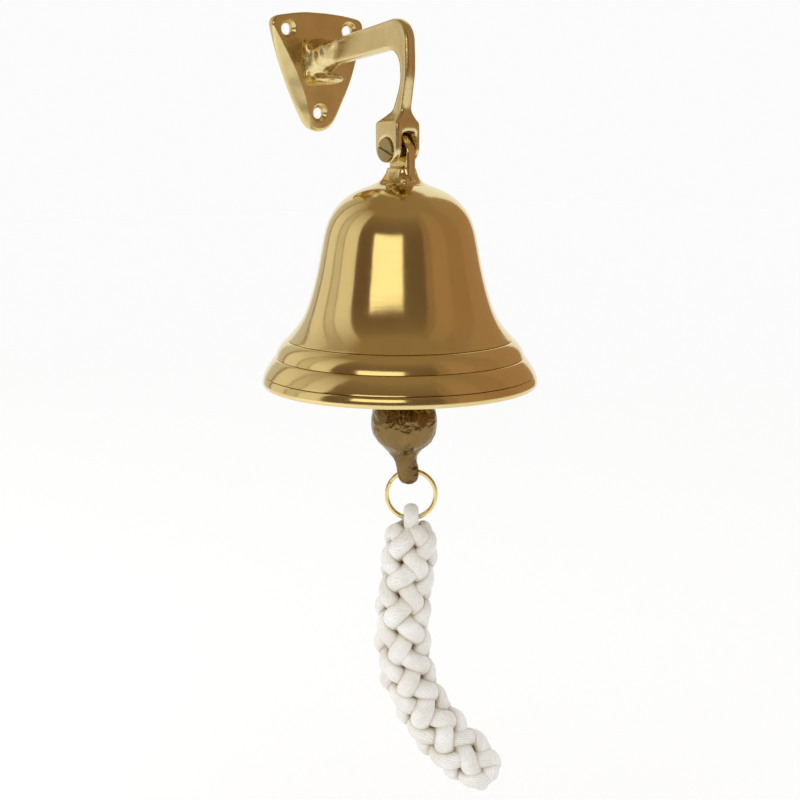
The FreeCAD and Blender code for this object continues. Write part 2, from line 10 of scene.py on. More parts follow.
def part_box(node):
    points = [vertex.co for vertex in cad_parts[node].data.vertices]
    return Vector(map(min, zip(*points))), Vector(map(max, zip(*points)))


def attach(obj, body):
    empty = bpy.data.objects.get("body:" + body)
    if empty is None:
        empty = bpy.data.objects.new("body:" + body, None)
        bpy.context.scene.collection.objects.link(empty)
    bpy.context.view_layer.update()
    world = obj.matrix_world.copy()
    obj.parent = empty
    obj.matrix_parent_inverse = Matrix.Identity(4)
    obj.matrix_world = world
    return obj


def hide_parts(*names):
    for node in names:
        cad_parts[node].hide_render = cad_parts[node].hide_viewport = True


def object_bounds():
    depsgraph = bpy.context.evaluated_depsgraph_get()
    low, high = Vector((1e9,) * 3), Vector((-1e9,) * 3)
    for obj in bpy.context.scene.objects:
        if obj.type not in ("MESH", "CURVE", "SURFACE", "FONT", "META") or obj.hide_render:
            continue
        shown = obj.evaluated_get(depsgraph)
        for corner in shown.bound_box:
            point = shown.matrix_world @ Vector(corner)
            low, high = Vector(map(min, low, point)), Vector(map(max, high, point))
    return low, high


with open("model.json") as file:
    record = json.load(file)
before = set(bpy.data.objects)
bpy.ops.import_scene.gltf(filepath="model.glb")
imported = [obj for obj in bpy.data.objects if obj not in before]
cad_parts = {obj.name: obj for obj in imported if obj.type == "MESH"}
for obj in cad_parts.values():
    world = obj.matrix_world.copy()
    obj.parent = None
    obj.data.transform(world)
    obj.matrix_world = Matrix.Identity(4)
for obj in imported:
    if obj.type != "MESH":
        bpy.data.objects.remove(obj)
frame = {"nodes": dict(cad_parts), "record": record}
cad_low, cad_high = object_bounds()

# ---------------------------------------------------------------- places, from the frame

MM = 0.001
record = frame["record"]
joints = {joint["name"]: joint for joint in record["behaviour"]["joints"]}
bell_low, bell_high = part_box("bell_body")
PIN = Vector(joints["bell_swing"]["pos_m"])
MOUTH = Vector(((bell_low.x + bell_high.x) / 2.0, PIN.y, bell_low.z))
SIDE = Vector(joints["clapper_swing"]["axis"])
DEEP = Vector(joints["link_swing"]["axis"])
UP = Vector((0.0, 0.0, 1.0))
TAIL_PIVOT = Vector(joints["ring_swing"]["pos_m"])
RING_CENTRE = Vector(joints["lanyard_swing"]["pos_m"])
RING_RADIUS = TAIL_PIVOT.z - RING_CENTRE.z
RING_BOTTOM = RING_CENTRE - UP * RING_RADIUS

# ---------------------------------------------------------------- camera

CAMERA_AZIMUTH = math.radians(-35.8)
CAMERA_DISTANCE = 0.7468
CAMERA_ABOVE_MOUTH = 0.136
CAMERA_DOWN = math.radians(11.02)
CAMERA_LENS = 62.2


def make_camera():
    """The camera at the photograph's viewing angle."""
    data = bpy.data.cameras.new("camera")
    data.lens = CAMERA_LENS
    data.sensor_width = 36.0
    data.clip_start = 0.01
    camera = bpy.data.objects.new("camera", data)
    away = Vector((math.sin(CAMERA_AZIMUTH), -math.cos(CAMERA_AZIMUTH), 0.0))
    camera.location = MOUTH + away * CAMERA_DISTANCE + UP * CAMERA_ABOVE_MOUTH
    camera.rotation_euler = (math.pi / 2.0 - CAMERA_DOWN, 0.0, CAMERA_AZIMUTH)
    bpy.context.scene.collection.objects.link(camera)
    bpy.context.scene.camera = camera


make_camera()

# ---------------------------------------------------------------- shared mesh helpers


def held(value):
    """A value held between 0 and 1."""
    return min(1.0, max(0.0, value))


def add_object(name, mesh, material, body):
    """A new piece with its material, riding on a CAD body."""
    piece = bpy.data.objects.new(name, mesh)
    bpy.context.scene.collection.objects.link(piece)
    mesh.materials.append(material)
    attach(piece, body)
    return piece


def smooth_mesh(mesh, sharp_angle=40.0):
    """Smooth shading, apart from edges sharper than an angle in degrees."""
    for polygon in mesh.polygons:
        polygon.use_smooth = True
    mesh.set_sharp_from_angle(angle=math.radians(sharp_angle))


def rings_mesh(name, rings, close_start=True, close_end=True, lengths=None):
    """A skin over rings of points, all with the same count, with UVs round (u) and along (v)."""
    count = len(rings[0])
    vertices = [point for ring in rings for point in ring]
    faces = []
    for row in range(len(rings) - 1):
        for column in range(count):
            after = (column + 1) % count
            faces.append((row * count + column, row * count + after,
                          (row + 1) * count + after, (row + 1) * count + column))
    quads = len(faces)
    if close_start:
        faces.append(tuple(reversed(range(count))))
    if close_end:
        faces.append(tuple((len(rings) - 1) * count + column for column in range(count)))
    mesh = bpy.data.meshes.new(name)
    mesh.from_pydata([tuple(v) for v in vertices], [], faces)
    if lengths is not None:
        layer = mesh.uv_layers.new(name="strand")
        for index in range(quads):
            row, column = divmod(index, count)
            polygon = mesh.polygons[index]
            corners = [(column, row), (column + 1, row), (column + 1, row + 1), (column, row + 1)]
            for loop, (u, v) in zip(polygon.loop_indices, corners):
                layer.data[loop].uv = (u / count, lengths[v])
    mesh.validate()
    smooth_mesh(mesh)
    return mesh


def cubic_line(points, count):
    """Points on the smooth line (a natural cubic spline) through given points."""
    given = np.array(points, float)
    steps = np.linalg.norm(np.diff(given, axis=0), axis=1)
    at = np.concatenate([[0.0], np.cumsum(steps)])
    size = len(given)
    matrix = np.zeros((size, size))
    right = np.zeros_like(given)
    matrix[0, 0] = matrix[-1, -1] = 1.0
    for i in range(1, size - 1):
        before, after = steps[i - 1], steps[i]
        matrix[i, i - 1] = before
        matrix[i, i] = 2.0 * (before + after)
        matrix[i, i + 1] = after
        right[i] = 6.0 * ((given[i + 1] - given[i]) / after - (given[i] - given[i - 1]) / before)
    bend = np.linalg.solve(matrix, right)
    line = []
    for s in np.linspace(0.0, at[-1], count):
        i = min(int(np.searchsorted(at, s, side="right")) - 1, size - 2)
        length = steps[i]
        a = (at[i + 1] - s) / length
        b = 1.0 - a
        value = a * given[i] + b * given[i + 1]
        value = value + ((a ** 3 - a) * bend[i] + (b ** 3 - b) * bend[i + 1]) * length ** 2 / 6.0
        line.append(tuple(value))
    return line


def arc_line(start, middle, end, count):
    """Points on the circle's arc through three points in a plane."""
    (ax, ay), (bx, by), (cx, cy) = start, middle, end
    d = 2.0 * (ax * (by - cy) + bx * (cy - ay) + cx * (ay - by))
    a2, b2, c2 = ax * ax + ay * ay, bx * bx + by * by, cx * cx + cy * cy
    ux = (a2 * (by - cy) + b2 * (cy - ay) + c2 * (ay - by)) / d
    uy = (a2 * (cx - bx) + b2 * (ax - cx) + c2 * (bx - ax)) / d
    radius = math.hypot(ax - ux, ay - uy)
    first = math.atan2(ay - uy, ax - ux)
    sweep = math.atan2(cy - uy, cx - ux) - first
    sweep = (sweep + math.pi) % (2.0 * math.pi) - math.pi
    return [(ux + radius * math.cos(first + sweep * k / count),
             uy + radius * math.sin(first + sweep * k / count)) for k in range(count + 1)]


# ---------------------------------------------------------------- lanyard

BRAID_ROUTE = [
    (0.0002, -0.0036),
    (0.0002, -0.0220),
    (-0.0038, -0.0426),
    (-0.0054, -0.0611),
    (-0.0044, -0.0797),
    (-0.0001, -0.0978),
    (0.0076, -0.1147),
    (0.0184, -0.1298),
    (0.0316, -0.1430),
    (0.0459, -0.1548),
]


def route_points():
    """The lanyard's route below the ring, from its places to the side and upwards."""
    return [RING_BOTTOM + SIDE * side + UP * rise for side, rise in BRAID_ROUTE]


def route_line():
    """Points along the lanyard's NURBS line."""
    curve = bpy.data.curves.new("lanyard_route", "CURVE")
    curve.dimensions = "3D"
    spline = curve.splines.new("NURBS")
    points = route_points()
    spline.points.add(len(points) - 1)
    for control, point in zip(spline.points, points):
        control.co = (point.x, point.y, point.z, 1.0)
    spline.order_u = 3
    spline.use_endpoint_u = True
    spline.resolution_u = 24
    holder = bpy.data.objects.new("lanyard_route", curve)
    bpy.context.scene.collection.objects.link(holder)
    depsgraph = bpy.context.evaluated_depsgraph_get()
    mesh = bpy.data.meshes.new_from_object(holder.evaluated_get(depsgraph))
    line = [vertex.co.copy() for vertex in mesh.vertices]
    bpy.data.objects.remove(holder)
    return line


class Line:
    """A line of points that can be read at any length along it, with a steady sideways direction."""

    def __init__(self, points, across):
        self.points = points
        self.across = across
        self.at = [0.0]
        for before, after in zip(points, points[1:]):
            self.at.append(self.at[-1] + (after - before).length)
        self.length = self.at[-1]

    def read(self, s):
        """The point, its direction and two directions square to it."""
        s = min(max(s, 0.0), self.length)
        i = min(int(np.searchsorted(self.at, s, side="right")) - 1, len(self.points) - 2)
        part = (s - self.at[i]) / (self.at[i + 1] - self.at[i])
        point = self.points[i].lerp(self.points[i + 1], part)
        low = max(i - 1, 0)
        high = min(i + 2, len(self.points) - 1)
        ahead = (self.points[high] - self.points[low]).normalized()
        out = (self.across - ahead * self.across.dot(ahead)).normalized()
        return point, ahead, out, out.cross(ahead)


BRAID_PITCH = 0.080
BRAID_RADIUS = 0.0093
BRAID_WAVE = 0.0023
BRAID_WAVES_IN_A_PITCH = 4.0
BRAID_VIEW_TURN = math.radians(12.0)
BRAID_TWIST = 5.5
BRAID_CORE_RADIUS = 0.0072
CORE_STEPS = 60
CORE_END = 0.05
CORE_SWELL = 6.0
STRAND_SIDES = 20
STRAND_STEP = 0.0009
STRAND_TANGENT_RADIUS = 0.0055
STRAND_RADIAL_RADIUS = 0.0046
END_TUCK = 0.010
FAR_END_RADIUS = 0.45
NEAR_END_RADIUS = 0.35
CAP_LENGTH = 0.004
CAP_LEAST = 0.02

# How uneven the strands are, with each noise's rates along the braid, by phase and by turning.
STRAND_DRIFT = 0.38
DRIFT_RATES = (45.0, 3.0, 5.0)
STRAND_WANDER = 0.0022
WANDER_RATES = (60.0, 1.0, 9.0)
STRAND_SWELL = 0.16
SWELL_RATES = (90.0, 2.0, 4.0)


def strand_noise(s, turning, phase, rates):
    """Smooth noise along a strand, different for each strand."""
    along, by_phase, by_turning = rates
    return noise.noise(Vector((s * along, phase * by_phase, turning * by_turning)))


def strand_centre(line, s, turning, phase):
    """Where a braid's strand passes at a length along the braid."""
    point, _, out, other = line.read(s)
    wave = 2.0 * math.pi * s / BRAID_PITCH
    drift = STRAND_DRIFT * strand_noise(s, turning, phase, DRIFT_RATES)
    angle = turning * wave + phase + BRAID_VIEW_TURN + BRAID_TWIST * s + drift
    over = turning * math.cos(BRAID_WAVES_IN_A_PITCH * wave)
    tuck = math.sqrt(held((line.length - s) / END_TUCK))
    far_end = FAR_END_RADIUS + (1.0 - FAR_END_RADIUS) * tuck
    near_end = min(1.0, NEAR_END_RADIUS + s / END_TUCK)
    radius = (BRAID_RADIUS + BRAID_WAVE * over) * far_end * near_end
    radius += STRAND_WANDER * strand_noise(s, turning, phase, WANDER_RATES)
    return point + (out * math.cos(angle) + other * math.sin(angle)) * radius, point


def strand_mesh(line, turning, phase):
    """One thick cotton strand of the braid."""
    count = int(line.length / STRAND_STEP)
    reach = [line.length * k / count for k in range(count + 1)]
    centres = [strand_centre(line, s, turning, phase) for s in reach]
    rings = []
    lengths = []
    travelled = 0.0
    for k, (centre, middle) in enumerate(centres):
        before = centres[max(k - 1, 0)][0]
        after = centres[min(k + 1, count)][0]
        ahead = (after - before).normalized()
        radial = centre - middle
        radial = (radial - ahead * radial.dot(ahead)).normalized()
        sideways = ahead.cross(radial)
        if k:
            travelled += (centre - before).length
        lengths.append(travelled)
        end_distance = min(reach[k], line.length - reach[k])
        cap = math.sqrt(max(CAP_LEAST, 1.0 - max(0.0, 1.0 - end_distance / CAP_LENGTH) ** 2))
        swell = 1.0 + STRAND_SWELL * strand_noise(reach[k], turning, phase, SWELL_RATES)
        ring = []
        for j in range(STRAND_SIDES):
            turn = 2.0 * math.pi * j / STRAND_SIDES
            wide = STRAND_TANGENT_RADIUS * math.cos(turn)
            deep = STRAND_RADIAL_RADIUS * math.sin(turn)
            ring.append(centre + (sideways * wide + radial * deep) * (cap * swell))
        rings.append(ring)
    return rings_mesh("strand", rings, lengths=lengths)


def join_meshes(name, meshes):
    """Several meshes as one, with their UVs."""
    merged = bmesh.new()
    for mesh in meshes:
        merged.from_mesh(mesh)
        bpy.data.meshes.remove(mesh)
    result = bpy.data.meshes.new(name)
    merged.to_mesh(result)
    merged.free()
    smooth_mesh(result)
    return result


def tube_rings(points, radius, sides, across, flat=1.0):
    """Rings round a line of points; flat stretches or squeezes the tube along the across direction."""
    rings = []
    lengths = []
    travelled = 0.0
    for k, point in enumerate(points):
        before = points[max(k - 1, 0)]
        after = points[min(k + 1, len(points) - 1)]
        ahead = (after - before).normalized()
        out = (across - ahead * across.dot(ahead)).normalized()
        other = ahead.cross(out)
        if k:
            travelled += (point - before).length
        lengths.append(travelled)
        ring = []
        for j in range(sides):
            turn = 2.0 * math.pi * j / sides
            ring.append(point + out * (radius * flat * math.cos(turn))
                        + other * (radius * math.sin(turn)))
        rings.append(ring)
    return rings, lengths


# ---------------------------------------------------------------- materials

# The colour sockets of a Mix node.
MIX_FACTOR = 0
MIX_A = 6
MIX_B = 7
MIX_RESULT = 2

PATCH_SCALE = 22.0
PATCH_RANGE = (0.3, 0.7)
GLOSS_RANGE = (0.12, 0.42)
RIPPLE_HEIGHT = 0.001
SCRATCH_HEIGHT = 0.0002


def new_material(name):
    """A material whose node tree has only its shader and output."""
    material = bpy.data.materials.new(name)
    material.use_nodes = True
    tree = material.node_tree
    return material, tree, tree.nodes["Principled BSDF"]


def coordinates(tree, scale, source="Object"):
    """Texture coordinates stretched by a scale in each direction."""
    place = tree.nodes.new("ShaderNodeTexCoord")
    mapping = tree.nodes.new("ShaderNodeMapping")
    mapping.inputs["Scale"].default_value = scale
    tree.links.new(place.outputs[source], mapping.inputs["Vector"])
    return mapping.outputs["Vector"]


def noise_value(tree, vector, scale, detail=4.0, roughness=0.55):
    """A noise texture's value."""
    texture = tree.nodes.new("ShaderNodeTexNoise")
    texture.inputs["Scale"].default_value = scale
    texture.inputs["Detail"].default_value = detail
    texture.inputs["Roughness"].default_value = roughness
    tree.links.new(vector, texture.inputs["Vector"])
    return texture.outputs["Fac"]


def ramp(tree, value, stops):
    """Colours or greys along a value from 0 to 1."""
    node = tree.nodes.new("ShaderNodeValToRGB")
    elements = node.color_ramp.elements
    while len(elements) < len(stops):
        elements.new(0.5)
    for element, (place, colour) in zip(elements, stops):
        element.position = place
        element.color = colour if len(colour) == 4 else (*colour, 1.0)
    tree.links.new(value, node.inputs["Fac"])
    return node.outputs["Color"]


def grey(value):
    """A grey colour."""
    return (value, value, value, 1.0)


def bump(tree, height, strength, distance, under=None):
    """A bump from a height, over another bump if one is given."""
    node = tree.nodes.new("ShaderNodeBump")
    node.inputs["Strength"].default_value = strength
    node.inputs["Distance"].default_value = distance
    tree.links.new(height, node.inputs["Height"])
    if under is not None:
        tree.links.new(under, node.inputs["Normal"])
    return node.outputs["Normal"]


def multiply(tree, first, second):
    """One colour multiplied by another."""
    node = tree.nodes.new("ShaderNodeMix")
    node.data_type = "RGBA"
    node.blend_type = "MULTIPLY"
    node.inputs[MIX_FACTOR].default_value = 1.0
    tree.links.new(first, node.inputs[MIX_A])
    tree.links.new(second, node.inputs[MIX_B])
    return node.outputs[MIX_RESULT]


def metal(name, light, dark, gloss, ripple, ripple_scale, scratch_scale, scratch):
    """Cast or turned metal: colour patches, uneven gloss, slow ripples and fine scratches."""
    material, tree, shader = new_material(name)
    shader.inputs["Metallic"].default_value = 1.0
    even = coordinates(tree, (1.0, 1.0, 1.0))
    stretched = coordinates(tree, scratch_scale)
    patches = noise_value(tree, even, PATCH_SCALE, detail=5.0, roughness=0.6)
    scratches = noise_value(tree, stretched, 1.0, detail=6.0, roughness=0.7)
    colour = ramp(tree, patches, list(zip(PATCH_RANGE, (dark, light))))
    tree.links.new(colour, shader.inputs["Base Color"])
    mixed = tree.nodes.new("ShaderNodeMath")
    mixed.operation = "MULTIPLY"
    tree.links.new(patches, mixed.inputs[0])
    tree.links.new(scratches, mixed.inputs[1])
    greys = [grey(value) for value in gloss]
    roughness = ramp(tree, mixed.outputs["Value"], list(zip(GLOSS_RANGE, greys)))
    tree.links.new(roughness, shader.inputs["Roughness"])
    ripples = noise_value(tree, even, ripple_scale, detail=3.0, roughness=0.5)
    slow = bump(tree, ripples, ripple, RIPPLE_HEIGHT)
    fine = bump(tree, scratches, scratch, SCRATCH_HEIGHT, slow)
    tree.links.new(fine, shader.inputs["Normal"])
    return material


SHADOW_RAMP = [(0.15, (0.34, 0.27, 0.18)), (0.55, (0.74, 0.67, 0.56)), (0.95, (1.0, 1.0, 1.0))]
STAIN_RAMP = [(0.3, (0.78, 0.74, 0.66)), (0.65, (0.93, 0.915, 0.88))]
THREAD_RAMP = [(0.0, grey(0.80)), (0.5, grey(1.0))]
SHADOW_REACH = 0.010
THREAD_SCALE = (34.0, 420.0, 1.0)
THREAD_HEIGHT = 0.0004
FIBRE_SCALE = 1500.0
FIBRE_HEIGHT = 0.0003
STAIN_SCALE = 60.0


def cotton():
    """Off-white cotton strands: twisted fibres, soft shadows in the folds and loose sheen."""
    material, tree, shader = new_material("cotton_cord")
    shader.inputs["Roughness"].default_value = 0.95
    shader.inputs["Sheen Weight"].default_value = 0.25
    shader.inputs["Sheen Roughness"].default_value = 0.6
    along = coordinates(tree, THREAD_SCALE, "UV")
    twist = tree.nodes.new("ShaderNodeTexWave")
    twist.wave_type = "BANDS"
    twist.bands_direction = "DIAGONAL"
    twist.inputs["Scale"].default_value = 0.55
    twist.inputs["Distortion"].default_value = 6.0
    twist.inputs["Detail"].default_value = 3.0
    tree.links.new(along, twist.inputs["Vector"])
    even = coordinates(tree, (1.0, 1.0, 1.0))
    fibres = noise_value(tree, even, FIBRE_SCALE, detail=4.0, roughness=0.7)
    stains = noise_value(tree, even, STAIN_SCALE, detail=3.0, roughness=0.6)
    occlusion = tree.nodes.new("ShaderNodeAmbientOcclusion")
    occlusion.inputs["Distance"].default_value = SHADOW_REACH
    base = ramp(tree, stains, STAIN_RAMP)
    shade = ramp(tree, occlusion.outputs["AO"], SHADOW_RAMP)
    shaded = multiply(tree, base, shade)
    threads = multiply(tree, shaded, ramp(tree, twist.outputs["Fac"], THREAD_RAMP))
    tree.links.new(threads, shader.inputs["Base Color"])
    plies = bump(tree, twist.outputs["Fac"], 0.45, THREAD_HEIGHT)
    tree.links.new(bump(tree, fibres, 0.5, FIBRE_HEIGHT, plies), shader.inputs["Normal"])
    return material


POLISHED = metal("polished_brass", light=(0.80, 0.66, 0.31), dark=(0.74, 0.58, 0.25), gloss=(0.09, 0.19),
                 ripple=0.20, ripple_scale=26.0, scratch_scale=(14.0, 14.0, 900.0), scratch=0.07)
PLATE = metal("plate_brass", light=(0.78, 0.64, 0.31), dark=(0.70, 0.55, 0.25), gloss=(0.17, 0.30),
              ripple=0.12, ripple_scale=60.0, scratch_scale=(120.0, 120.0, 60.0), scratch=0.10)
CAST = metal("cast_polished_brass", light=(0.80, 0.65, 0.32), dark=(0.70, 0.54, 0.24), gloss=(0.08, 0.20),
             ripple=0.45, ripple_scale=90.0, scratch_scale=(300.0, 300.0, 60.0), scratch=0.08)
SATIN = metal("satin_brass", light=(0.78, 0.65, 0.34), dark=(0.70, 0.56, 0.27), gloss=(0.16, 0.34),
              ripple=0.20, ripple_scale=60.0, scratch_scale=(900.0, 60.0, 500.0), scratch=0.25)
SCREW = metal("screw_brass", light=(0.44, 0.36, 0.16), dark=(0.24, 0.18, 0.075), gloss=(0.32, 0.48),
              ripple=0.30, ripple_scale=300.0, scratch_scale=(700.0, 700.0, 700.0), scratch=0.4)
BRONZE = metal("rough_bronze", light=(0.30, 0.195, 0.070), dark=(0.09, 0.055, 0.020), gloss=(0.10, 0.28),
               ripple=0.9, ripple_scale=200.0, scratch_scale=(500.0, 500.0, 500.0), scratch=0.5)
WIRE = metal("wire_brass", light=(0.92, 0.76, 0.36), dark=(0.82, 0.64, 0.27), gloss=(0.20, 0.34),
             ripple=0.10, ripple_scale=120.0, scratch_scale=(500.0, 500.0, 200.0), scratch=0.08)
COTTON = cotton()


def paint(node, material):
    """Give a CAD node its material."""
    target = frame["nodes"][node]
    target.data.materials.clear()
    target.data.materials.append(material)


# ---------------------------------------------------------------- bell

BELL_SIDES = 288
AXIS_GAP = 0.02
OUTER = [(7.4, 114.6), (10.4, 110.4), (18.6, 106.4), (30.6, 99.6), (37.9, 90.0), (41.6, 77.4),
         (44.6, 62.0), (48.3, 48.0), (53.6, 35.2), (61.2, 25.7)]
INNER = [(69.8, 0.9), (64.2, 11.4), (55.2, 24.6), (48.2, 38.0), (43.2, 52.0),
         (39.6, 66.0), (36.4, 80.0), (30.4, 91.6), (20.0, 98.6), (9.0, 101.6)]


def bell_outline():
    """Half of the bell's section, from the crown's top to the middle of its inside, in millimetres."""
    line = [(0.0, 114.6)]
    line += cubic_line(OUTER, 90)
    line += [(61.35, 25.45), (60.6, 25.15), (61.75, 24.95)]
    line += arc_line((62.1, 24.7), (65.7, 20.7), (67.5, 16.3), 12)
    line += [(67.6, 16.0), (66.8, 15.7), (67.95, 15.5)]
    line += arc_line((68.3, 15.2), (71.7, 10.8), (73.9, 6.7), 12)
    line += [(73.95, 6.45), (73.1, 6.2), (74.05, 6.0)]
    line += arc_line((74.2, 5.8), (74.95, 3.4), (75.0, 1.2), 6)
    line += arc_line((75.0, 1.2), (74.6, 0.35), (73.8, 0.0), 4)[1:]
    line += arc_line((70.4, 0.0), (69.95, 0.3), (69.8, 0.9), 4)
    line += cubic_line(INNER, 50)[1:]
    line.append((0.0, 102.0))
    return line


def bell_shell():
    """The turned bell, with its bands and grooves."""
    rings = []
    for radius, rise in bell_outline():
        ring = []
        for k in range(BELL_SIDES):
            turn = 2.0 * math.pi * k / BELL_SIDES
            reach = max(radius, AXIS_GAP) * MM
            ring.append(MOUTH + Vector((reach * math.cos(turn), reach * math.sin(turn), rise * MM)))
        rings.append(ring)
    rings.reverse()
    mesh = rings_mesh("bell_shell", rings)
    shell = add_object("bell_shell", mesh, POLISHED, "bell")
    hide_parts("bell_body")
    return shell


def rounded_ring(centre, half_x, front, back, power, count=48):
    """A rounded rectangle (a superellipse) that reaches front and back by different lengths."""
    ring = []
    for k in range(count):
        turn = 2.0 * math.pi * k / count
        c, s = math.cos(turn), math.sin(turn)
        x = half_x * math.copysign(abs(c) ** (2.0 / power), c)
        depth = back if s > 0.0 else front
        y = depth * math.copysign(abs(s) ** (2.0 / power), s)
        ring.append(centre + Vector((x, y, 0.0)) * MM)
    return ring


FINE_LUMP_SIZE = 1.0 / 2.7
FINE_LUMP_DEPTH = 0.4


def lumpy(mesh, size, depth, weight):
    """Push a mesh's points in and out by smooth noise, as a casting's surface is."""
    moved = []
    for vertex in mesh.vertices:
        amount = depth * noise.noise(vertex.co / size)
        amount += FINE_LUMP_DEPTH * depth * noise.noise(vertex.co / (FINE_LUMP_SIZE * size))
        amount *= weight(vertex.co)
        moved += list(vertex.co + vertex.normal * amount)
    mesh.vertices.foreach_set("co", moved)
    mesh.update()


# Height, reach to the sides, to the front and to the back, and squareness, in millimetres.
NECK_STATIONS = [
    (104.5, 20.0, 20.5, 19.0, 2.0), (107.6, 14.2, 15.4, 13.2, 2.1), (110.0, 10.4, 12.2, 9.8, 2.4),
    (112.0, 8.0, 10.6, 8.0, 2.9), (114.0, 6.6, 9.8, 6.9, 3.6), (115.6, 5.9, 9.3, 6.2, 4.6),
    (116.6, 5.7, 9.2, 6.0, 5.0), (117.0, 5.2, 8.8, 5.6, 5.0),
]


def neck_mesh():
    """The neck between the crown and the fork, flaring into the crown."""
    rings = [rounded_ring(MOUTH + UP * (rise * MM), wide, front, back, power)
             for rise, wide, front, back, power in cubic_line(NECK_STATIONS, 26)]
    return rings_mesh("neck", rings)


def lump_mesh(centre, reach, turns=20):
    """A rounded lump, by its centre and its reach along x, y and z."""
    rings = []
    for row in range(1, turns):
        lean = math.pi * row / turns
        ring = []
        for k in range(2 * turns):
            turn = math.pi * k / turns
            ring.append(centre + Vector((reach.x * math.sin(lean) * math.cos(turn),
                                         reach.y * math.sin(lean) * math.sin(turn),
                                         -reach.z * math.cos(lean))))
        rings.append(ring)
    return rings_mesh("lump", rings)


def flat_piece(name, outlines, thickness, edge):
    """A flat shape with rounded edges, from closed outlines in millimetres; later outlines are holes."""
    curve = bpy.data.curves.new(name, "CURVE")
    curve.dimensions = "2D"
    curve.fill_mode = "BOTH"
    curve.extrude = (thickness / 2.0 - edge) * MM
    curve.bevel_depth = edge * MM
    curve.bevel_resolution = 4
    curve.offset = -edge * MM
    for outline in outlines:
        spline = curve.splines.new("POLY")
        spline.points.add(len(outline) - 1)
        for control, (a, b) in zip(spline.points, outline):
            control.co = (a * MM, b * MM, 0.0, 1.0)
        spline.use_cyclic_u = True
    holder = bpy.data.objects.new(name, curve)
    bpy.context.scene.collection.objects.link(holder)
    depsgraph = bpy.context.evaluated_depsgraph_get()
    mesh = bpy.data.meshes.new_from_object(holder.evaluated_get(depsgraph))
    bpy.data.objects.remove(holder)
    mesh.materials.clear()
    return mesh


TONGUE_THICKNESS = 5.6
TONGUE_EDGE = 1.1
PIN_HOLE_RADIUS = 3.48
PIN_HOLE_SIDES = 32


def tongue_mesh():
    """The flat tongue that stands in the fork's slot, round about the pin."""
    outline = [(-10.8, -20.0), (-10.8, -2.0)]
    outline += arc_line((-10.8, -2.0), (-10.7, 0.0), (-10.2, 1.8), 4)[1:]
    outline += arc_line((-7.2, 5.05), (0.0, 8.8), (8.8, 0.0), 24)
    outline += [(6.0, -10.0), (6.0, -20.0)]
    hole = []
    for k in range(PIN_HOLE_SIDES):
        turn = 2.0 * math.pi * k / PIN_HOLE_SIDES
        hole.append((PIN_HOLE_RADIUS * math.cos(turn), PIN_HOLE_RADIUS * math.sin(turn)))
    mesh = flat_piece("tongue", [outline, hole], TONGUE_THICKNESS, TONGUE_EDGE)
    stand = Matrix(((0.0, 0.0, 1.0), (1.0, 0.0, 0.0), (0.0, 1.0, 0.0))).to_4x4()
    mesh.transform(Matrix.Translation(Vector((MOUTH.x, PIN.y, PIN.z))) @ stand)
    return mesh


def casting(name, meshes, voxel, relax_steps):
    """Several meshes melted into one fine, soft-edged skin, as in one casting."""
    holder = bpy.data.objects.new(name, join_meshes(name, meshes))
    bpy.context.scene.collection.objects.link(holder)
    remesh = holder.modifiers.new("voxels", "REMESH")
    remesh.mode = "VOXEL"
    remesh.voxel_size = voxel
    relax = holder.modifiers.new("relax", "SMOOTH")
    relax.factor = 0.5
    relax.iterations = relax_steps
    depsgraph = bpy.context.evaluated_depsgraph_get()
    mesh = bpy.data.meshes.new_from_object(holder.evaluated_get(depsgraph))
    bpy.data.objects.remove(holder)
    mesh.materials.clear()
    return mesh


BELL_TOP_VOXEL = 0.00035
BELL_TOP_RELAX = 45
LUMPS_TOP = 0.117
LUMPS_FADE = 0.003


def bell_top():
    """Neck, tongue and the small lumps that casting left at their foot."""
    meshes = [
        neck_mesh(),
        tongue_mesh(),
        lump_mesh(MOUTH + Vector((-5.0, -11.6, 109.9)) * MM, Vector((2.2, 2.2, 2.3)) * MM),
        lump_mesh(MOUTH + Vector((-1.6, -12.4, 110.4)) * MM, Vector((1.9, 1.6, 2.2)) * MM),
        lump_mesh(MOUTH + Vector((-11.5, -8.5, 107.6)) * MM, Vector((4.5, 2.0, 1.0)) * MM),
    ]
    mesh = casting("bell_top", meshes, BELL_TOP_VOXEL, BELL_TOP_RELAX)

    def below_fork(point):
        return held((MOUTH.z + LUMPS_TOP - point.z) / LUMPS_FADE)

    lumpy(mesh, size=0.0065, depth=0.00014, weight=below_fork)
    smooth_mesh(mesh, 80.0)
    top = add_object("bell_top", mesh, CAST, "bell")
    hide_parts("bell_body")
    return top


bell_shell()
bell_top()

# ---------------------------------------------------------------- bracket, plate, clapper, ring and loop

FINE_VOXEL = 0.0004
BRACKET_RELAX = 150
ROOT_REACH = 0.026
ROOT_FADE = 0.010
JOINT_FADE = 0.002


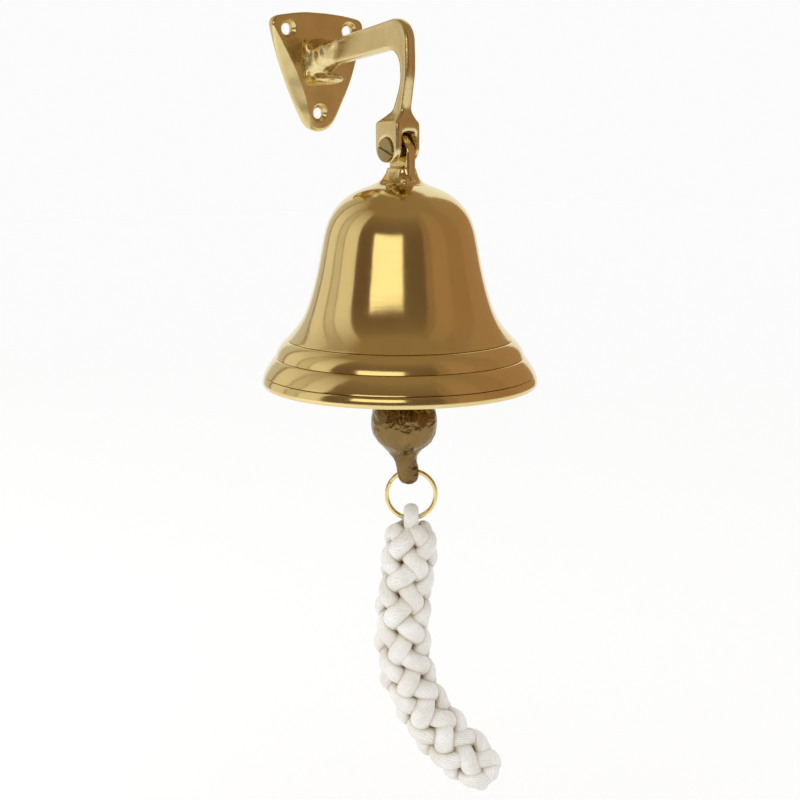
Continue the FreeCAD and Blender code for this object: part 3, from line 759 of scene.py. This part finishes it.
def bracket_casting():
    """The bracket arm with soft, polished edges and its lumpy root on the plate."""
    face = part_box("bracket_arm")[1].y
    meshes = [
        frame["nodes"]["bracket_arm"].data.copy(),
        lump_mesh(Vector((1.5, face / MM - 6.5, -13.2)) * MM, Vector((9.2, 10.0, 3.0)) * MM),
        lump_mesh(Vector((-9.4, face / MM - 0.8, -1.6)) * MM, Vector((1.7, 2.2, 11.5)) * MM),
        lump_mesh(Vector((-4.4, face / MM - 8.0, 0.2)) * MM, Vector((3.2, 5.0, 6.6)) * MM),
        lump_mesh(Vector((-3.0, face / MM - 17.0, 5.0)) * MM, Vector((2.2, 6.5, 2.4)) * MM),
    ]
    mesh = casting("bracket_casting", meshes, FINE_VOXEL, BRACKET_RELAX)

    def near_root(point):
        along_arm = held((point.y - face + ROOT_REACH) / ROOT_FADE)
        return along_arm * min(1.0, (face - point.y) / JOINT_FADE)

    lumpy(mesh, size=0.0095, depth=0.0005, weight=near_root)
    smooth_mesh(mesh, 80.0)
    piece = add_object("bracket_casting", mesh, SATIN, "bracket")
    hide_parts("bracket_arm")
    return piece


PLATE_RELAX = 4
PLATE_FACET = 0.42
PLATE_FACET_WIDTH = 0.0088
PLATE_FACET_START = 0.12
PLATE_TAPER = 0.022
PLATE_TAPER_POWER = 1.6
PLATE_DROOP = 0.0013
PLATE_DROOP_START = 0.58
PLATE_DEEPEST = 0.0038


def plate_casting():
    """The wall plate with its hand-polished, slightly uneven face."""
    low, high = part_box("wall_plate")
    flat_plate = frame["nodes"]["wall_plate"].data.copy()
    mesh = casting("plate_casting", [flat_plate], FINE_VOXEL, PLATE_RELAX)

    def front_face(point):
        return held((high.y - point.y) / (high.y - low.y))

    for vertex in mesh.vertices:
        point = vertex.co
        down = held((high.z - point.z) / (high.z - low.z))
        edge = low.x + PLATE_TAPER * down ** PLATE_TAPER_POWER
        reach = PLATE_FACET_WIDTH * math.sin(math.pi * held(down - PLATE_FACET_START))
        facet = PLATE_FACET * max(0.0, edge + reach - point.x)
        droop = PLATE_DROOP * max(0.0, (down - PLATE_DROOP_START) / (1.0 - PLATE_DROOP_START)) ** 2
        point.y += min(facet + droop, PLATE_DEEPEST) * front_face(point)
    lumpy(mesh, size=0.024, depth=0.0006, weight=front_face)
    smooth_mesh(mesh, 50.0)
    piece = add_object("plate_casting", mesh, PLATE, "bracket")
    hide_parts("wall_plate")
    return piece


CLAPPER_AXIS = Vector(joints["link_swing"]["pos_m"])
EYE_CENTRE = Vector(joints["clapper_swing"]["pos_m"])
CLAPPER_SIDES = 64
CLAPPER_VOXEL = 0.0005
CLAPPER_RELAX = 2
EYE_RADIUS = 0.00525
EYE_WIRE = 0.0019
EYE_STEPS = 48
EYE_CLEAR = 0.012
EYE_FADE = 0.004
# Offset to the side, height over the bell's mouth, and reach to the sides and in depth, in millimetres.
CLAPPER_STATIONS = [
    (0.0, 65.0, 3.4, 3.4), (0.0, 30.0, 4.0, 4.0), (0.0, 6.0, 4.5, 4.5), (0.0, 0.5, 4.8, 4.8),
    (0.0, -4.6, 8.2, 8.2), (0.0, -10.6, 14.6, 14.6), (0.0, -18.6, 18.1, 18.1),
    (0.0, -26.6, 17.8, 17.6), (0.0, -33.4, 14.2, 13.8), (0.1, -38.2, 9.0, 8.6), (0.5, -42.2, 6.7, 6.2),
    (1.4, -46.2, 6.2, 5.4), (2.2, -50.2, 6.1, 4.8), (2.5, -53.4, 5.6, 4.3), (2.5, -55.8, 4.2, 3.2),
    (2.5, -57.0, 1.8, 1.4),
]


def clapper_casting():
    """Eye, rod, ball and tail: an uneven casting."""
    rings = []
    for side, rise, wide, deep in cubic_line(CLAPPER_STATIONS, 150):
        foot = Vector((CLAPPER_AXIS.x, CLAPPER_AXIS.y, MOUTH.z))
        centre = foot + SIDE * (side * MM) + UP * (rise * MM)
        ring = []
        for k in range(CLAPPER_SIDES):
            turn = 2.0 * math.pi * k / CLAPPER_SIDES
            ring.append(centre + (SIDE * (wide * math.cos(turn)) + DEEP * (deep * math.sin(turn))) * MM)
        rings.append(ring)
    eye = []
    for k in range(EYE_STEPS + 1):
        turn = 2.0 * math.pi * k / EYE_STEPS
        eye.append(EYE_CENTRE + (DEEP * math.cos(turn) + UP * math.sin(turn)) * EYE_RADIUS)
    eye_rings, _ = tube_rings(eye, EYE_WIRE, 16, SIDE, flat=1.25)
    meshes = [rings_mesh("clapper", rings), rings_mesh("eye", eye_rings)]
    mesh = casting("clapper_casting", meshes, CLAPPER_VOXEL, CLAPPER_RELAX)

    def all_but_eye(point):
        return held((EYE_CENTRE.z - EYE_CLEAR - point.z) / EYE_FADE)

    lumpy(mesh, size=0.0065, depth=0.0005, weight=all_but_eye)
    lumpy(mesh, size=0.0018, depth=0.00014, weight=all_but_eye)
    smooth_mesh(mesh, 80.0)
    piece = add_object("clapper_casting", mesh, BRONZE, "clapper")
    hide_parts("clapper")
    return piece


WIRE_RADIUS = 0.00118
WIRE_SIDES = 14
WIRE_FLAT = 0.55
RING_TURNS = 1.96
RING_STEPS = 230
RING_START = math.radians(150.0)
RING_OFFSET = 0.00062
RING_STEP_SHARPNESS = 60.0


def split_ring():
    """The split ring: two turns of wire side by side, with a step where they cross."""
    points = []
    for k in range(RING_STEPS + 1):
        part = k / RING_STEPS
        turn = 2.0 * math.pi * RING_TURNS * part + RING_START
        step = 1.0 / (1.0 + math.exp(-(part - 0.5) * RING_STEP_SHARPNESS))
        shift = RING_OFFSET * (2.0 * step - 1.0)
        points.append(RING_CENTRE + SIDE * (RING_RADIUS * math.cos(turn))
                      + UP * (RING_RADIUS * math.sin(turn)) + DEEP * shift)
    rings, lengths = tube_rings(points, WIRE_RADIUS, WIRE_SIDES, DEEP, WIRE_FLAT)
    mesh = rings_mesh("split_ring", rings, lengths=lengths)
    ring = add_object("split_ring", mesh, WIRE, "ring")
    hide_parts("pull_ring")
    return ring


LOOP_STRAND = 0.0032
LOOP_WIDENING = 1.30
LOOP_BEND = 0.0050
LOOP_TAIL = 0.007
TAIL_STEPS = 8
BEND_STEPS = 24


def lanyard_loop():
    """The strand that goes over the ring and back into the braid."""
    points = []
    for k in range(TAIL_STEPS):
        points.append(RING_BOTTOM - DEEP * LOOP_BEND - UP * (LOOP_TAIL * (1.0 - k / TAIL_STEPS)))
    for k in range(BEND_STEPS + 1):
        turn = math.pi * k / BEND_STEPS
        points.append(RING_BOTTOM - DEEP * (LOOP_BEND * math.cos(turn))
                      + UP * (LOOP_BEND * math.sin(turn)))
    for k in range(TAIL_STEPS):
        points.append(RING_BOTTOM + DEEP * LOOP_BEND - UP * (LOOP_TAIL * (k + 1) / TAIL_STEPS))
    rings, lengths = tube_rings(points, LOOP_STRAND, STRAND_SIDES, SIDE, LOOP_WIDENING)
    mesh = rings_mesh("cotton_loop", rings, lengths=lengths)
    loop = add_object("cotton_loop", mesh, COTTON, "lanyard")
    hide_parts("lanyard_loop")
    return loop


def core_mesh(line):
    """The core that fills the middle of the braid."""
    rings = []
    lengths = []
    for k in range(CORE_STEPS + 1):
        s = END_TUCK * 0.5 + (line.length - END_TUCK) * k / CORE_STEPS
        point, _, out, other = line.read(s)
        from_end = min(k, CORE_STEPS - k) / CORE_STEPS
        radius = BRAID_CORE_RADIUS * math.sqrt(min(1.0, CORE_END + CORE_SWELL * from_end))
        ring = []
        for j in range(STRAND_SIDES):
            turn = 2.0 * math.pi * j / STRAND_SIDES
            ring.append(point + (out * math.cos(turn) + other * math.sin(turn)) * radius)
        rings.append(ring)
        lengths.append(s)
    return rings_mesh("core", rings, lengths=lengths)


def lanyard_braid():
    """Eight thick strands round a core, four turning each way, passing over and under each other."""
    route = route_line()
    line = Line(route, DEEP)
    meshes = [core_mesh(line)]
    for turning in (1.0, -1.0):
        for quarter in range(4):
            meshes.append(strand_mesh(line, turning, 0.5 * math.pi * quarter))
    mesh = join_meshes("cotton_braid", meshes)
    braid = add_object("cotton_braid", mesh, COTTON, "lanyard")
    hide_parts("lanyard_braid")
    return braid


plate_casting()
bracket_casting()
clapper_casting()
split_ring()
loop_piece = lanyard_loop()
lanyard_braid()

paint("pivot_screw", SCREW)
paint("crown_staple", BRONZE)
paint("hanger_link", WIRE)

# ---------------------------------------------------------------- floor and light

PALE = (0.97, 0.97, 0.97)
FLOOR_DROP = 0.06
FLOOR_GLOW = 0.035
FLOOR_HALF = 6.0


def level_square(half, z):
    """The corners of a level square round the origin."""
    return [(-half, -half, z), (half, -half, z), (half, half, z), (-half, half, z)]


def floor():
    """A wide pale floor under the hanging bell, with a faint glow that softens its far edge."""
    material, _, shader = new_material("floor")
    shader.inputs["Base Color"].default_value = (*PALE, 1.0)
    shader.inputs["Roughness"].default_value = 0.9
    shader.inputs["Emission Color"].default_value = (*PALE, 1.0)
    shader.inputs["Emission Strength"].default_value = FLOOR_GLOW
    mesh = bpy.data.meshes.new("floor")
    mesh.from_pydata(level_square(FLOOR_HALF, cad_low.z - FLOOR_DROP), [], [(0, 1, 2, 3)])
    mesh.materials.append(material)
    stage = bpy.data.objects.new("floor", mesh)
    bpy.context.scene.collection.objects.link(stage)


def reflected_only(name, vertices, faces, colour, top_colour, strength):
    """A glowing card that is seen only in reflections, fading to another colour at its top."""
    material = bpy.data.materials.new(name)
    material.use_nodes = True
    tree = material.node_tree
    tree.nodes.clear()
    emission = tree.nodes.new("ShaderNodeEmission")
    height = tree.nodes.new("ShaderNodeSeparateXYZ")
    tree.links.new(coordinates(tree, (1.0, 1.0, 1.0), "Generated"), height.inputs["Vector"])
    fade = ramp(tree, height.outputs["Z"], [(CARD_FADE, colour), (1.0, top_colour)])
    tree.links.new(fade, emission.inputs["Color"])
    emission.inputs["Strength"].default_value = strength
    output = tree.nodes.new("ShaderNodeOutputMaterial")
    tree.links.new(emission.outputs["Emission"], output.inputs["Surface"])
    mesh = bpy.data.meshes.new(name)
    mesh.from_pydata(vertices, [], faces)
    mesh.materials.append(material)
    stage = bpy.data.objects.new(name, mesh)
    bpy.context.scene.collection.objects.link(stage)
    stage.visible_camera = False
    stage.visible_diffuse = False
    stage.visible_shadow = False


def card(name, radius, start, end, low, high, colour, strength):
    """A curved card round the bell; its angles run from the camera's direction, to the camera's right."""
    steps = max(2, int(abs(end - start) / CARD_STEP))
    vertices = []
    for k in range(steps + 1):
        turn = CAMERA_AZIMUTH + math.radians(start + (end - start) * k / steps)
        x = PIN.x + radius * math.sin(turn)
        y = PIN.y - radius * math.cos(turn)
        vertices += [(x, y, MOUTH.z + low), (x, y, MOUTH.z + high)]
    faces = [(2 * k, 2 * k + 2, 2 * k + 3, 2 * k + 1) for k in range(steps)]
    top_colour = colour if high < ROOM_HIGH else CEILING_TONE
    reflected_only(name, vertices, faces, colour, top_colour, strength)


def ceiling():
    """The warm ceiling over the cards."""
    corners = level_square(CEILING_HALF, MOUTH.z + ROOM_HIGH)
    reflected_only("ceiling", corners, [(0, 1, 2, 3)], CEILING_TONE, CEILING_TONE, 1.0)


KEY_SIZE = 1.2
KEY_POWER = 5.0
KEY_TURN = math.radians(62.0)
KEY_RISE = 0.1
KEY_DISTANCE = 1.4


def key_light():
    """A large soft light on the left, for the shape of the cotton."""
    data = bpy.data.lights.new("key", "AREA")
    data.size = KEY_SIZE
    data.energy = KEY_POWER
    key = bpy.data.objects.new("key", data)
    turn = CAMERA_AZIMUTH - KEY_TURN
    key.location = MOUTH + Vector((math.sin(turn), -math.cos(turn), KEY_RISE)) * KEY_DISTANCE
    key.rotation_euler = (MOUTH - key.location).to_track_quat("-Z", "Y").to_euler()
    key.visible_glossy = False
    bpy.context.scene.collection.objects.link(key)


# Cards that only reflections see. Apart from the softbox they stand in for a room's walls and
# ceiling, and their tones and angles were chosen for the view of the main camera.
LEFT_TONE = (0.80, 0.75, 0.68)
RIGHT_TONE = (0.38, 0.24, 0.145)
DARK_TONE = (0.17, 0.112, 0.072)
CEILING_TONE = (0.32, 0.225, 0.135)
SOFTBOX_TONE = (1.0, 0.91, 0.72)
ROOM_LOW = -1.2
ROOM_HIGH = 3.4
CEILING_HALF = 2.4
CARD_FADE = 0.42
CARD_STEP = 4.0
# Name, radius, start and end angle in degrees, bottom and top over the bell's mouth, tone, strength.
CARDS = [
    ("backing_left", 2.2, -152.0, -60.0, ROOM_LOW, ROOM_HIGH, DARK_TONE, 1.6),
    ("left_wall_far", 1.9, -152.0, -135.0, ROOM_LOW, ROOM_HIGH, LEFT_TONE, 0.80),
    ("left_wall_back", 1.9, -131.5, -108.0, ROOM_LOW, ROOM_HIGH, LEFT_TONE, 1.05),
    ("left_wall_middle", 1.9, -106.0, -92.0, ROOM_LOW, ROOM_HIGH, LEFT_TONE, 0.86),
    ("left_wall_near", 1.9, -90.5, -66.0, ROOM_LOW, ROOM_HIGH, LEFT_TONE, 1.08),
    ("dark_front", 1.9, -66.0, 36.0, ROOM_LOW, ROOM_HIGH, DARK_TONE, 1.0),
    ("right_wall_near", 1.9, 36.0, 47.0, ROOM_LOW, ROOM_HIGH, RIGHT_TONE, 0.88),
    ("right_wall_pale", 1.9, 47.0, 72.0, ROOM_LOW, ROOM_HIGH, RIGHT_TONE, 1.10),
    ("right_wall_middle", 1.9, 72.0, 104.0, ROOM_LOW, ROOM_HIGH, RIGHT_TONE, 0.98),
    ("right_wall_back", 1.9, 104.0, 150.0, ROOM_LOW, ROOM_HIGH, RIGHT_TONE, 1.10),
    ("front_softbox", 1.8, -40.0, 4.0, 0.36, 0.95, SOFTBOX_TONE, 1.5),
]


def lights():
    """A pale sky, a soft key light and the cards that the polished brass reflects."""
    world = bpy.data.worlds.new("studio")
    world.use_nodes = True
    background = world.node_tree.nodes["Background"]
    background.inputs["Color"].default_value = (*PALE, 1.0)
    background.inputs["Strength"].default_value = 1.0
    bpy.context.scene.world = world
    bpy.context.scene.view_settings.view_transform = "Standard"
    for row in CARDS:
        card(*row)
    ceiling()
    key_light()


floor()
lights()
